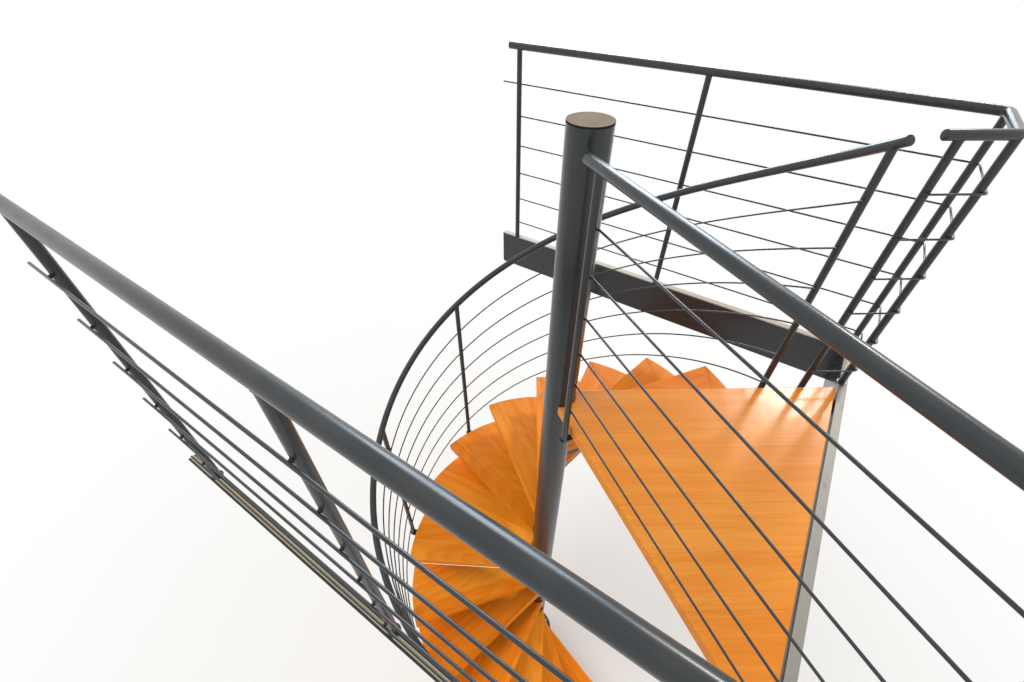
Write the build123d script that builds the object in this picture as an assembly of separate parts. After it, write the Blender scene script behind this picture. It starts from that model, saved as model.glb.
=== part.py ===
"""Spiral staircase with its landing and the guards round the floor opening.

The stair turns anticlockwise as it goes down. The origin is on the column's axis, on the
underside of the base plate. +Z is up, and +X runs from the wall towards the landing.
All sizes are in millimetres and all angles in degrees.
"""
from build123d import *
import math
import os

# Flight
FLOOR_HEIGHT = 3006
RISERS = 15
TREAD_TURN = 22.15
FIRST_NOSING = 59.4
NOSING_FROM_AXIS = 57
TREAD_THICKNESS = 40
TREAD_OUTER_RADIUS = 851
TREAD_OVERLAP = 60
EDGE_ROUND = 3

# Column
COLUMN_DIAMETER = 127
COLUMN_WALL = 4
COLUMN_ABOVE_LANDING = 1057
CAP_THICKNESS = 6
CAP_SPIGOT = 18
BASE_DIAMETER = 280
BASE_THICKNESS = 12
BASE_HOLE_CIRCLE = 220
BASE_HOLE_DIAMETER = 14
BASE_HOLES = 6

# Tread brackets
BRACKET_PLATE = 5
BRACKET_REACH = 620
BRACKET_INSET = 12
RIB_THICKNESS = 8
RIB_ROOT_DEPTH = 48
RIB_TIP_DEPTH = 18
RIB_SETBACK = 24

# Landing
LANDING_NORTH_ANGLE = 35.2
LANDING_NORTH_OFFSET = 21.3
LANDING_SOUTH_ANGLE = -34.1
LANDING_SOUTH_OFFSET = -35.5
LANDING_GAP = 8
JOIST_DEPTH = 60
JOIST_THICKNESS = 10
JOIST_SETBACK = 30

# Steel edge of the floor opening
EAST_LINE = 950
NORTH_LINE = 981
SOUTH_LINE = -989
WEST_END = -955
FASCIA_DEPTH = 200
FASCIA_THICKNESS = 12
FASCIA_CORNER_ROUND = 14
TRIM_WIDTH = 30
TRIM_THICKNESS = 6

# Tubes and rods of the guards
HANDRAIL_DIAMETER = 31
POST_DIAMETER = 25
ROD_DIAMETER = 7
ROD_COUNT = 6
STUD_DIAMETER = 8
STUD_LENGTH = 2.5
HANDRAIL_BEND = 26
END_ROUND = 2

# Straight guards
GUARD_HEIGHT = 1000
GUARD_LOWEST_ROD = 87
GUARD_ROD_PITCH = 150
GUARD_WEST_END = -909
NORTH_POSTS = (-854, 35)
SOUTH_POSTS = (-805, 43)
ROD_PAST_POST = 14
SOUTH_ROD_PAST_POST = 62
TOP_ROD_PAST_POST = 106
RETURN_LINE_OFFSET = 46
RETURN_POST_SPACING = 161
RETURN_HANDRAIL_PAST_POST = 49
LANDING_GUARD_OFFSET = -56
COLUMN_TO_GUARD_POST = 93
LANDING_HANDRAIL_PAST_POST = 60
LANDING_TOP_ROD_PAST_POST = 50
FOOT_DIAMETER = 36
FOOT_THICKNESS = 4
LUG_THICKNESS = 6
LUG_WIDTH = 40
LANDING_LUG_WIDTH = 25
LANDING_LUG_DROP = 30

# Spiral guard
SPIRAL_RADIUS = 882
SPIRAL_HANDRAIL_ABOVE_NOSING = 990
SPIRAL_TOP_ROD_DROP = 171
SPIRAL_ROD_PITCH = 161.5
SPIRAL_END_POST_ANGLE = 39.5
SPIRAL_HANDRAIL_TOP_ANGLE = 37
SPIRAL_HANDRAIL_PAST_START = 3.5
SPIRAL_START_POST_BEFORE_NOSING = 3
TREAD_POSTS = ((4, 12.6), (6, 12), (8, 13.2), (10, 12.6), (12, 12.6))

# Clearances
WOOD_TO_COLUMN = 0.25
SEAT = 0.1

# Reach of the shapes that cut others, and one whole turn
FAR = 4000
FULL_TURN = 360

# Worked out from the sizes above
RISER = FLOOR_HEIGHT / RISERS
TREADS = RISERS - 1
COLUMN_RADIUS = COLUMN_DIAMETER / 2
NOSING_SKEW = math.degrees(math.asin(NOSING_FROM_AXIS / TREAD_OUTER_RADIUS))
POST_RADIUS = POST_DIAMETER / 2
ROD_RADIUS = ROD_DIAMETER / 2
ROD_FROM_POST = POST_RADIUS + STUD_LENGTH + SEAT + ROD_RADIUS
SLOPE = RISER / TREAD_TURN
COLUMN_TOP = FLOOR_HEIGHT + COLUMN_ABOVE_LANDING
LANDING_UNDERSIDE = FLOOR_HEIGHT - TREAD_THICKNESS
JOIST_UNDERSIDE = LANDING_UNDERSIDE - JOIST_DEPTH
LANDING_LUG_TOP = LANDING_UNDERSIDE - LANDING_LUG_DROP
EAST_FACE = EAST_LINE - FASCIA_THICKNESS / 2
LANDING_EAST_EDGE = EAST_FACE - LANDING_GAP


def polar(radius, angle):
    """Point in plan at a radius and an angle."""
    return Vector(radius * math.cos(math.radians(angle)), radius * math.sin(math.radians(angle)))


def line_point(angle, offset, along):
    """Point on the line that runs at an angle and passes the axis at an offset to its left."""
    return polar(along, angle) + polar(offset, angle + 90)


def crossing(angle_a, offset_a, angle_b, offset_b):
    """Point where two such lines cross."""
    along = (offset_b - offset_a * math.cos(math.radians(angle_a - angle_b))) / math.sin(
        math.radians(angle_a - angle_b)
    )
    return line_point(angle_a, offset_a, along)


def at_x(angle, offset, x):
    """Point of such a line at a given x."""
    along = (x + offset * math.sin(math.radians(angle))) / math.cos(math.radians(angle))
    return line_point(angle, offset, along)


def nosing_angle(tread):
    """Angle at which a tread's front edge meets its outer end, counted down from the landing."""
    return FIRST_NOSING + TREAD_TURN * (tread - 1)


def nosing_direction(tread):
    """Direction of a tread's front edge, which passes beside the axis and not through it."""
    return nosing_angle(tread) - NOSING_SKEW


def tread_top(tread):
    """Height of a tread's upper face."""
    return FLOOR_HEIGHT - RISER * tread


def spiral_handrail_z(angle):
    """Height of the spiral handrail's axis above the base at an angle."""
    return tread_top(1) + SPIRAL_HANDRAIL_ABOVE_NOSING - SLOPE * (angle - FIRST_NOSING)


def upright(diameter, bottom, top, point):
    """Solid round bar that stands at a point in plan."""
    bar = Cylinder(diameter / 2, top - bottom, align=(Align.CENTER, Align.CENTER, Align.MIN))
    return Pos(point.X, point.Y, bottom) * bar


def level_bar(diameter, start, end):
    """Solid round bar between two points in space."""
    bar = Cylinder(diameter / 2, (end - start).length, align=(Align.CENTER, Align.CENTER, Align.MIN))
    return Plane(origin=start, z_dir=end - start) * bar


def wedge(angle_a, offset_a, angle_b, offset_b):
    """Plan of the area between two lines, on the side of the axis that they point to."""
    tip = crossing(angle_a, offset_a, angle_b, offset_b)
    corners = [tip, tip + polar(FAR, angle_a), tip + polar(FAR, angle_b)]
    area = make_face(Polyline(*[(p.X, p.Y) for p in corners], close=True))
    front = Rot(0, 0, (angle_a + angle_b) / 2) * Pos(FAR / 2, 0) * Rectangle(FAR, FAR * 2)
    return area & front


def write(node, *solids):
    """Write one node from its solids."""
    shape = solids[0] if len(solids) == 1 else Compound(children=list(solids))
    shape.label = node
    export_step(shape, f"parts/{node}.step")


# Column with its base plate and cap
def column():
    """Round tube that carries the treads and the landing."""
    tube = Circle(COLUMN_RADIUS) - Circle(COLUMN_RADIUS - COLUMN_WALL)
    height = COLUMN_TOP - CAP_THICKNESS - BASE_THICKNESS
    return Pos(0, 0, BASE_THICKNESS) * extrude(tube, amount=height)


def column_cap():
    """Flat disc with a spigot in the tube."""
    disc = upright(COLUMN_DIAMETER, COLUMN_TOP - CAP_THICKNESS, COLUMN_TOP, Vector())
    spigot_diameter = COLUMN_DIAMETER - 2 * (COLUMN_WALL + SEAT)
    spigot_bottom = COLUMN_TOP - CAP_THICKNESS - CAP_SPIGOT
    return disc + upright(spigot_diameter, spigot_bottom, COLUMN_TOP - CAP_THICKNESS, Vector())


def base_plate():
    """Round plate with a circle of anchor holes."""
    plan = Circle(BASE_DIAMETER / 2)
    plan -= PolarLocations(BASE_HOLE_CIRCLE / 2, BASE_HOLES) * Circle(BASE_HOLE_DIAMETER / 2)
    return extrude(plan, amount=BASE_THICKNESS)


# Treads
def tread(number):
    """Fan-shaped board that butts against the column."""
    back_offset = NOSING_FROM_AXIS - TREAD_OVERLAP
    plan = wedge(nosing_direction(number), NOSING_FROM_AXIS, nosing_direction(number - 1), back_offset)
    plan = plan & Circle(TREAD_OUTER_RADIUS)
    plan -= Circle(COLUMN_RADIUS + WOOD_TO_COLUMN)
    board = extrude(plan, amount=TREAD_THICKNESS)
    board = Pos(0, 0, tread_top(number) - TREAD_THICKNESS) * board
    return fillet(board.faces().sort_by(Axis.Z)[-1].edges().filter_by(GeomType.LINE), EDGE_ROUND)


def rib(angle, offset, top):
    """Tapered rib on edge along a line, from the column to the end of its plate."""
    profile = Polyline(
        (0, 0),
        (BRACKET_REACH, 0),
        (BRACKET_REACH, -RIB_TIP_DEPTH),
        (COLUMN_RADIUS, -RIB_ROOT_DEPTH),
        (0, -RIB_ROOT_DEPTH),
        close=True,
    )
    start = line_point(angle, offset - RIB_THICKNESS / 2, 0)
    side = polar(1, angle + 90)
    plane = Plane(origin=(start.X, start.Y, top), x_dir=polar(1, angle), z_dir=-side)
    return extrude(plane * make_face(profile), amount=-RIB_THICKNESS)


def tread_bracket(number):
    """Plate with two ribs, welded to the column under a tread."""
    front = nosing_direction(number)
    back = nosing_direction(number - 1)
    top = tread_top(number) - TREAD_THICKNESS
    front_offset = NOSING_FROM_AXIS - RIB_SETBACK
    back_offset = NOSING_FROM_AXIS - TREAD_OVERLAP + BRACKET_INSET
    plan = wedge(front, front_offset, back, back_offset) & Circle(BRACKET_REACH)
    plate = Pos(0, 0, top - BRACKET_PLATE) * extrude(plan, amount=BRACKET_PLATE)
    ribs = rib(front, front_offset - RIB_THICKNESS / 2, top - BRACKET_PLATE)
    ribs += rib(back, back_offset + RIB_THICKNESS / 2, top - BRACKET_PLATE)
    core = upright(COLUMN_DIAMETER, top - BRACKET_PLATE - RIB_ROOT_DEPTH - 1, top + 1, Vector())
    return (plate + ribs) - core


# Landing
def landing_board():
    """Board between the column and the east side of the opening."""
    plan = wedge(LANDING_NORTH_ANGLE, LANDING_NORTH_OFFSET, LANDING_SOUTH_ANGLE, LANDING_SOUTH_OFFSET)
    plan = plan & (Pos(LANDING_EAST_EDGE - FAR / 2, 0) * Rectangle(FAR, FAR))
    plan -= Circle(COLUMN_RADIUS + WOOD_TO_COLUMN)
    board = Pos(0, 0, LANDING_UNDERSIDE) * extrude(plan, amount=TREAD_THICKNESS)
    return fillet(board.faces().sort_by(Axis.Z)[-1].edges().filter_by(GeomType.LINE), EDGE_ROUND)


def joist(angle, offset):
    """Flat bar on edge from the column to the steel edge of the opening."""
    start = line_point(angle, offset, 0)
    end = at_x(angle, offset, EAST_FACE + JOIST_THICKNESS)
    length = (end - start).length
    bar = Box(length, JOIST_THICKNESS, JOIST_DEPTH, align=(Align.MIN, Align.CENTER, Align.MIN))
    bar = Pos(start.X, start.Y, JOIST_UNDERSIDE) * Rot(0, 0, angle) * bar
    bar -= upright(COLUMN_DIAMETER, JOIST_UNDERSIDE - 1, LANDING_UNDERSIDE + 1, Vector())
    limit = Pos(EAST_FACE, 0, 0) * Box(FAR, FAR, FAR * 2, align=(Align.MAX, Align.CENTER, Align.CENTER))
    return bar & limit


def joist_lug(angle, offset, post):
    """Flat lug through a joist that carries a post beside the landing."""
    reach = post.dot(polar(1, angle + 90)) - offset
    overhang = math.copysign(POST_RADIUS, reach)
    side = angle + 90
    middle = line_point(angle, offset + (reach + overhang) / 2, post.dot(polar(1, angle)))
    length = abs(reach) + POST_RADIUS + JOIST_THICKNESS
    plate = Box(length, LANDING_LUG_WIDTH, LUG_THICKNESS, align=(Align.CENTER, Align.CENTER, Align.MAX))
    return Pos(middle.X, middle.Y, LANDING_LUG_TOP) * Rot(0, 0, side) * plate


# Steel edge and trims of the floor opening
def fascia(x_from, x_to, y_from, y_to):
    """Plate on edge along one side of the opening."""
    top = FLOOR_HEIGHT - TRIM_THICKNESS
    plate = Box(x_to - x_from, y_to - y_from, FASCIA_DEPTH, align=(Align.MIN, Align.MIN, Align.MAX))
    return Pos(x_from, y_from, top) * plate


def rounded_fascia(y_from, y_to):
    """Plate along the north or south side, rounded at its lower corner by the wall."""
    plate = fascia(WEST_END, EAST_LINE + FASCIA_THICKNESS / 2, y_from, y_to)
    corner = plate.edges().filter_by(Axis.Y).sort_by(lambda e: e.center().X + e.center().Z)[0]
    return fillet(corner, FASCIA_CORNER_ROUND)


def trim(x_from, x_to, y_from, y_to):
    """Flat strip on top of a fascia plate, level with the floor."""
    strip = Box(x_to - x_from, y_to - y_from, TRIM_THICKNESS, align=(Align.MIN, Align.MIN, Align.MAX))
    return Pos(x_from, y_from, FLOOR_HEIGHT) * strip


# Tubes and rods
def offset_corners(corners, distance):
    """Corners of a path moved sideways, to the left of its direction."""
    lines = []
    for start, end in zip(corners, corners[1:]):
        angle = math.degrees(math.atan2(end.Y - start.Y, end.X - start.X))
        offset = start.dot(polar(1, angle + 90)) + distance
        lines.append((angle, offset))
    first = line_point(*lines[0], corners[0].dot(polar(1, lines[0][0])))
    last = line_point(*lines[-1], corners[-1].dot(polar(1, lines[-1][0])))
    middle = [crossing(*a, *b) for a, b in zip(lines, lines[1:])]
    return [first, *middle, last]


def level_tube(corners, height, diameter, bend):
    """Round bar along a level path with rounded corners."""
    path = FilletPolyline(*[(p.X, p.Y, height) for p in corners], radius=bend)
    return sweep(Plane(origin=path @ 0, z_dir=path % 0) * Circle(diameter / 2), path=path)


def helix_tube(radius, diameter, top_angle, bottom_angle, top_z):
    """Round bar that winds down from one angle to another."""
    height = SLOPE * (bottom_angle - top_angle)
    path = Helix(SLOPE * FULL_TURN, height, radius, lefthand=True)
    path = Pos(0, 0, top_z - height) * Rot(0, 0, bottom_angle) * path
    return sweep(Plane(origin=path @ 0, z_dir=path % 0) * Circle(diameter / 2), path=path, is_frenet=True)


def eased_ends(tube):
    """Level bar with the sharp edges of its two ends rounded."""
    ends = tube.faces().filter_by(GeomType.PLANE)
    return fillet([edge for face in ends for edge in face.edges()], END_ROUND)


def guard_rod_z(row):
    """Height of a straight guard's rod, counted from the lowest."""
    return FLOOR_HEIGHT + GUARD_LOWEST_ROD + GUARD_ROD_PITCH * row


def stud(point, z, angle):
    """Round stud from a post's axis towards a rod, its end rounded about the post."""
    reach = POST_RADIUS + STUD_LENGTH
    root = Vector(point.X, point.Y, z)
    limit = upright(2 * reach, z - STUD_DIAMETER, z + STUD_DIAMETER, point)
    return level_bar(STUD_DIAMETER, root, root + polar(reach, angle)) & limit


def guard_post(point, bottom, side_angle, handrail):
    """Post of a straight guard with one stud to each rod, cut to fit under the handrail."""
    post = upright(POST_DIAMETER, bottom, FLOOR_HEIGHT + GUARD_HEIGHT, point)
    for row in range(ROD_COUNT):
        post += stud(point, guard_rod_z(row), side_angle)
    return post - handrail


def floor_post(point, side_angle, handrail):
    """Post that stands on the trim of the opening on a round foot."""
    foot = upright(FOOT_DIAMETER, FLOOR_HEIGHT, FLOOR_HEIGHT + FOOT_THICKNESS, point)
    return guard_post(point, FLOOR_HEIGHT, side_angle, handrail) + foot


# North guard: along the far side, down the east side and back along the landing
return_corner = at_x(LANDING_NORTH_ANGLE, RETURN_LINE_OFFSET, EAST_LINE)
return_post = return_corner - polar(RETURN_POST_SPACING, LANDING_NORTH_ANGLE)
north_corners = [
    Vector(GUARD_WEST_END, NORTH_LINE),
    Vector(EAST_LINE, NORTH_LINE),
    return_corner,
    return_post - polar(RETURN_HANDRAIL_PAST_POST, LANDING_NORTH_ANGLE),
]

# South guard: along the near side, up the east side and along the landing to the column
landing_corner = at_x(LANDING_SOUTH_ANGLE, LANDING_GUARD_OFFSET, EAST_LINE)
column_post_distance = COLUMN_RADIUS + COLUMN_TO_GUARD_POST + POST_RADIUS
column_post_along = math.sqrt(column_post_distance**2 - LANDING_GUARD_OFFSET**2)
column_post = line_point(LANDING_SOUTH_ANGLE, LANDING_GUARD_OFFSET, column_post_along)
south_corners = [
    Vector(GUARD_WEST_END, SOUTH_LINE),
    Vector(EAST_LINE, SOUTH_LINE),
    landing_corner,
    column_post - polar(LANDING_HANDRAIL_PAST_POST, LANDING_SOUTH_ANGLE),
]


def guard_rods(corners, side, west_post, past_west, end_post, past_end, past_end_top):
    """Rods of one guard, on its walking side, all bent round its corners."""
    rods = []
    end_direction = (corners[-1] - corners[-2]).normalized()
    for row in range(ROD_COUNT):
        top_row = row == ROD_COUNT - 1
        start_x = west_post - (TOP_ROD_PAST_POST if top_row else past_west)
        end = end_post + end_direction * (past_end_top if top_row else past_end)
        path = [Vector(start_x, corners[0].Y), *corners[1:-1], end]
        path = offset_corners(path, side * ROD_FROM_POST)
        rods.append(level_tube(path, guard_rod_z(row), ROD_DIAMETER, ROD_FROM_POST))
    return rods


def north_guard():
    """Handrail, posts and rods of the north guard."""
    handrail = level_tube(north_corners, FLOOR_HEIGHT + GUARD_HEIGHT, HANDRAIL_DIAMETER, HANDRAIL_BEND)
    handrail = eased_ends(handrail)
    posts = [floor_post(Vector(x, NORTH_LINE), 90, handrail) for x in NORTH_POSTS]
    posts.append(floor_post(Vector(EAST_LINE, NORTH_LINE), 45, handrail))
    posts.append(floor_post(return_corner, (LANDING_NORTH_ANGLE - 90) / 2, handrail))
    posts.append(guard_post(return_post, LANDING_LUG_TOP, LANDING_NORTH_ANGLE - 90, handrail))
    rods = guard_rods(
        north_corners, 1, NORTH_POSTS[0], ROD_PAST_POST,
        return_post, ROD_PAST_POST, ROD_PAST_POST,
    )
    return handrail, posts, rods


def south_guard():
    """Handrail, posts and rods of the south guard."""
    handrail = level_tube(south_corners, FLOOR_HEIGHT + GUARD_HEIGHT, HANDRAIL_DIAMETER, HANDRAIL_BEND)
    handrail = eased_ends(handrail)
    posts = [floor_post(Vector(x, SOUTH_LINE), -90, handrail) for x in SOUTH_POSTS]
    posts.append(floor_post(Vector(EAST_LINE, SOUTH_LINE), -45, handrail))
    posts.append(floor_post(landing_corner, (LANDING_SOUTH_ANGLE + 90) / 2, handrail))
    posts.append(guard_post(column_post, LANDING_LUG_TOP, LANDING_SOUTH_ANGLE + 90, handrail))
    rods = guard_rods(
        south_corners, -1, SOUTH_POSTS[0], SOUTH_ROD_PAST_POST,
        column_post, ROD_PAST_POST, LANDING_TOP_ROD_PAST_POST,
    )
    return handrail, posts, rods


# Spiral guard
def spiral_post(angle, bottom):
    """Post of the spiral guard with one stud to each rod, cut to fit under the sloping handrail."""
    point = polar(SPIRAL_RADIUS, angle)
    rail_z = spiral_handrail_z(angle)
    post = upright(POST_DIAMETER, bottom, rail_z, point)
    for row in range(ROD_COUNT):
        rod_z = rail_z - SPIRAL_TOP_ROD_DROP - SPIRAL_ROD_PITCH * row
        if rod_z > bottom + STUD_DIAMETER:
            post += stud(point, rod_z, angle + 180)
    rise = SLOPE / math.radians(1)
    tangent = polar(SPIRAL_RADIUS, angle + 90) + Vector(0, 0, -rise)
    middle = Vector(point.X, point.Y, rail_z)
    reach = tangent.normalized() * HANDRAIL_DIAMETER
    return post - level_bar(HANDRAIL_DIAMETER + 2 * SEAT, middle - reach, middle + reach)


def tread_lug(number, angle):
    """Flat lug screwed under a tread, with the foot of a post on its outer end."""
    inner = TREAD_OUTER_RADIUS - 2 * LUG_WIDTH
    plate = Box(SPIRAL_RADIUS - inner, LUG_WIDTH, LUG_THICKNESS, align=(Align.MIN, Align.CENTER, Align.MAX))
    plate = Pos(inner, 0, 0) * plate
    plate += Pos(SPIRAL_RADIUS, 0, -LUG_THICKNESS / 2) * Cylinder(LUG_WIDTH / 2, LUG_THICKNESS)
    return Rot(0, 0, angle) * Pos(0, 0, tread_top(number) - TREAD_THICKNESS) * plate


def spiral_guard():
    """Handrail, posts and rods of the spiral guard."""
    start_angle = nosing_angle(TREADS) - SPIRAL_START_POST_BEFORE_NOSING
    end_angle = start_angle + SPIRAL_HANDRAIL_PAST_START
    handrail = helix_tube(
        SPIRAL_RADIUS, HANDRAIL_DIAMETER, SPIRAL_HANDRAIL_TOP_ANGLE, end_angle,
        spiral_handrail_z(SPIRAL_HANDRAIL_TOP_ANGLE),
    )
    posts = [spiral_post(SPIRAL_END_POST_ANGLE, LANDING_LUG_TOP)]
    for number, before_nosing in TREAD_POSTS:
        angle = nosing_angle(number) - before_nosing
        post = spiral_post(angle, tread_top(number) - TREAD_THICKNESS)
        posts.append(post + tread_lug(number, angle))
    start = spiral_post(start_angle, 0)
    posts.append(start + upright(FOOT_DIAMETER, 0, FOOT_THICKNESS, polar(SPIRAL_RADIUS, start_angle)))
    rods = []
    rod_radius = SPIRAL_RADIUS - ROD_FROM_POST
    past_post = math.degrees(ROD_PAST_POST / SPIRAL_RADIUS)
    top_angle = SPIRAL_END_POST_ANGLE - past_post
    for row in range(ROD_COUNT):
        top_z = spiral_handrail_z(top_angle) - SPIRAL_TOP_ROD_DROP - SPIRAL_ROD_PITCH * row
        rods.append(helix_tube(rod_radius, ROD_DIAMETER, top_angle, start_angle + past_post, top_z))
    return handrail, posts, rods


def main():
    """Build and write every node."""
    os.makedirs("parts", exist_ok=True)
    write("base_plate", base_plate())
    write("column", column())
    write("column_cap", column_cap())
    for number in range(1, TREADS + 1):
        write(f"tread_{number:02d}", tread(number))
    write("tread_brackets", *[tread_bracket(number) for number in range(1, TREADS + 1)])
    write("landing_board", landing_board())

    north_joist_offset = LANDING_NORTH_OFFSET - JOIST_SETBACK - JOIST_THICKNESS / 2
    south_joist_offset = LANDING_SOUTH_OFFSET + JOIST_SETBACK + JOIST_THICKNESS / 2
    north_joist = joist(LANDING_NORTH_ANGLE, north_joist_offset)
    for post in (return_post, polar(SPIRAL_RADIUS, SPIRAL_END_POST_ANGLE)):
        north_joist += joist_lug(LANDING_NORTH_ANGLE, north_joist_offset, post)
    south_joist = joist(LANDING_SOUTH_ANGLE, south_joist_offset)
    south_joist += joist_lug(LANDING_SOUTH_ANGLE, south_joist_offset, column_post)
    write("landing_joist_north", north_joist)
    write("landing_joist_south", south_joist)

    half = FASCIA_THICKNESS / 2
    write("fascia_north", rounded_fascia(NORTH_LINE - half, NORTH_LINE + half))
    write("fascia_south", rounded_fascia(SOUTH_LINE - half, SOUTH_LINE + half))
    write("fascia_east", fascia(EAST_FACE, EAST_LINE + half, SOUTH_LINE + half, NORTH_LINE - half))
    trim_end = EAST_FACE + TRIM_WIDTH
    write("trim_north", trim(WEST_END, trim_end, NORTH_LINE - half, NORTH_LINE - half + TRIM_WIDTH))
    write("trim_south", trim(WEST_END, trim_end, SOUTH_LINE + half - TRIM_WIDTH, SOUTH_LINE + half))
    write("threshold_strip", trim(EAST_FACE, trim_end, SOUTH_LINE + half, NORTH_LINE - half))

    for name, guard in (("north", north_guard), ("south", south_guard), ("spiral", spiral_guard)):
        handrail, posts, rods = guard()
        write(f"{name}_handrail", handrail)
        write(f"{name}_posts", *posts)
        write(f"{name}_rods", *rods)


main()
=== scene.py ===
"""Finishes, tubes, fastenings and stage of the spiral staircase: an add-on that is run as a script."""
import math
import random

import bpy
from mathutils import Matrix, Vector
from mathutils.bvhtree import BVHTree


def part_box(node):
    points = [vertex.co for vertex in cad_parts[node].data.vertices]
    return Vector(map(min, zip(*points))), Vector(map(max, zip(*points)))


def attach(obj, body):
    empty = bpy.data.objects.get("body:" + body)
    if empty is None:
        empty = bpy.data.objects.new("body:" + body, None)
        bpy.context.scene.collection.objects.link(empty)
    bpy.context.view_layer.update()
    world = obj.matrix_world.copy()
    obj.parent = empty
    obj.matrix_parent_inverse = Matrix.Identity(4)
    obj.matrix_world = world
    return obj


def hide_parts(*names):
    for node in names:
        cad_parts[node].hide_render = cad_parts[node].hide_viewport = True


bl_info = {
    "name": "Spiral staircase finish",
    "version": (1, 0, 0),
    "blender": (4, 5, 0),
    "location": "View3D > Sidebar > Stair",
    "description": "Finishes, tubes, rods, welds and screws of a spiral staircase with its guards",
    "category": "Object",
}

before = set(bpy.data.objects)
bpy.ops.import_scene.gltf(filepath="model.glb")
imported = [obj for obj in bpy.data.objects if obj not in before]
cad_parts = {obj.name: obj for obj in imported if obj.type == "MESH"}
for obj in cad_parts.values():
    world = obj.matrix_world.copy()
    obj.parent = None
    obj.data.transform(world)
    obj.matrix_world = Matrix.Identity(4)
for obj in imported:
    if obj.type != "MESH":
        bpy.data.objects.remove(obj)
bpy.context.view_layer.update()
BODY = "root"
UP = Vector((0, 0, 1))
IN_PLAN = (1.0, 1.0, 0.0)
WHITE = (1.0, 1.0, 1.0, 1.0)

# Flight, in metres and degrees
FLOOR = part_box("landing_board")[1].z
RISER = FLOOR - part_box("tread_01")[1].z
TREADS = 14
TREAD_TURN = 22.15
FIRST_NOSING = 59.4
NOSING_FROM_AXIS = 0.057
TREAD_THICKNESS = 0.040
TREAD_OUTER_RADIUS = 0.851
NOSING_SKEW = math.degrees(math.asin(NOSING_FROM_AXIS / TREAD_OUTER_RADIUS))
SLOPE = RISER / TREAD_TURN
COLUMN_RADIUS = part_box("column")[1].x
BASE_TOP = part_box("base_plate")[1].z

# Brackets and lugs under the treads
BRACKET_PLATE = 0.005
RIB_ROOT_DEPTH = 0.048
BRACKET_FRONT_OFFSET = 0.033
BRACKET_BACK_OFFSET = 0.009
LUG_THICKNESS = 0.006

# Tread screws: distance from the bracket's edge, and reaches from the axis along bracket and lug
SCREW_FROM_EDGE = 0.026
FRONT_SCREWS = (0.20, 0.38, 0.57)
BACK_SCREWS = (0.29, 0.48)
LUG_SCREWS = (0.784, 0.836)

# Profiles of the fastenings: pairs of distance along the axis and radius
SCREW_WASHER = ((0.0, 0.0085), (0.0010, 0.0090), (0.0015, 0.0086))
SCREW_HEAD = ((0.0013, 0.0075), (0.0055, 0.0075), (0.0064, 0.0060))
SCREW_FLATS = 0.013
SCREW_SIDES = 24
ANCHOR_WASHER = ((0.0, 0.0118), (0.0004, 0.0122), (0.0021, 0.0122), (0.0025, 0.0118))
ANCHOR_NUT = ((0.0024, 0.0095), (0.0034, 0.0112), (0.0112, 0.0112), (0.0122, 0.0095))
ANCHOR_FLATS = 0.019
ANCHOR_CIRCLE = 0.110
ANCHORS = 6

# Thread of the anchors, with a plain end below it and one above
THREAD_ENDS = ((-0.012, 0.0058), (0.0212, 0.0045))
THREAD_START = -0.008
THREAD_PITCH = 0.0016
THREAD_TURNS = 18
THREAD_ROOT = 0.0052
THREAD_CREST = 0.0060

# Level guards
HANDRAIL_Z = FLOOR + 1.000
LOWEST_ROD = 0.087
ROD_PITCH = 0.150
ROWS = 6
POST_RADIUS = 0.0125
ROD_FROM_POST = 0.0186
STUD_REACH = 0.015
EAST_LINE = 0.950
NORTH_LINE = 0.981
SOUTH_LINE = -0.989
GUARD_WEST_END = -0.909
NORTH_POSTS = (-0.854, 0.035)
SOUTH_POSTS = (-0.805, 0.043)
NORTH_ANGLE = 35.2
NORTH_GUARD_OFFSET = 0.046
SOUTH_ANGLE = -34.1
SOUTH_GUARD_OFFSET = -0.056
RETURN_POST_SPACING = 0.161
RETURN_HANDRAIL_PAST_POST = 0.049
COLUMN_TO_GUARD_POST = 0.093
LANDING_HANDRAIL_PAST_POST = 0.060
LANDING_TOP_ROD_PAST_POST = 0.050
ROD_PAST_POST = 0.014
SOUTH_ROD_PAST_POST = 0.062
TOP_ROD_PAST_POST = 0.106
HANDRAIL_BEND = 0.026
HANDRAIL_SIDES = 32
HANDRAIL_END_ROUND = 0.002
ROD_SIDES = 16
ROD_END_ROUND = 0.0015

# Spiral guard
SPIRAL_RADIUS = 0.882
HANDRAIL_ABOVE_NOSING = 0.990
SPIRAL_TOP_ROD_DROP = 0.171
SPIRAL_ROD_PITCH = 0.1615
SPIRAL_END_POST_ANGLE = 39.5
SPIRAL_HANDRAIL_TOP_ANGLE = 37.0
SPIRAL_HANDRAIL_PAST_START = 3.5
SPIRAL_START_POST_ANGLE = FIRST_NOSING + TREAD_TURN * (TREADS - 1) - 3
TREAD_POSTS = ((4, 12.6), (6, 12.0), (8, 13.2), (10, 12.6), (12, 12.6))

# Welds of the guards: a bead's middle stands off the post by a share of the bead's radius
SEAM_OFF_POST = 0.2
FOOT_OFF_POST = 0.3
FOOT_BEAD_HEIGHT = 0.004
SEAM_POINTS = 28
FOOT_POINTS = 24

# How far below the handrail's axis the seam is looked for, and how far below it lies where none is met
SEAM_SEARCH = 0.1
SEAM_FALLBACK_DROP = 0.004

# Least height over its foot at which a spiral post has a stud
LOWEST_STUD = 0.01

# Welds of the column: how far the beads stand out, and how many degrees a bracket's lie beside its edges
BASE_BEAD = 0.0035
BASE_BEAD_OUT = 0.0012
BASE_BEAD_UP = 0.0008
BASE_BEAD_POINTS = 120
BRACKET_BEAD = 0.0024
BRACKET_BEAD_OUT = 0.0008
BRACKET_BEAD_DOWN = 0.0005
BRACKET_BEAD_STEPS = 18
BRACKET_BEAD_BESIDE = 1.2

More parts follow.
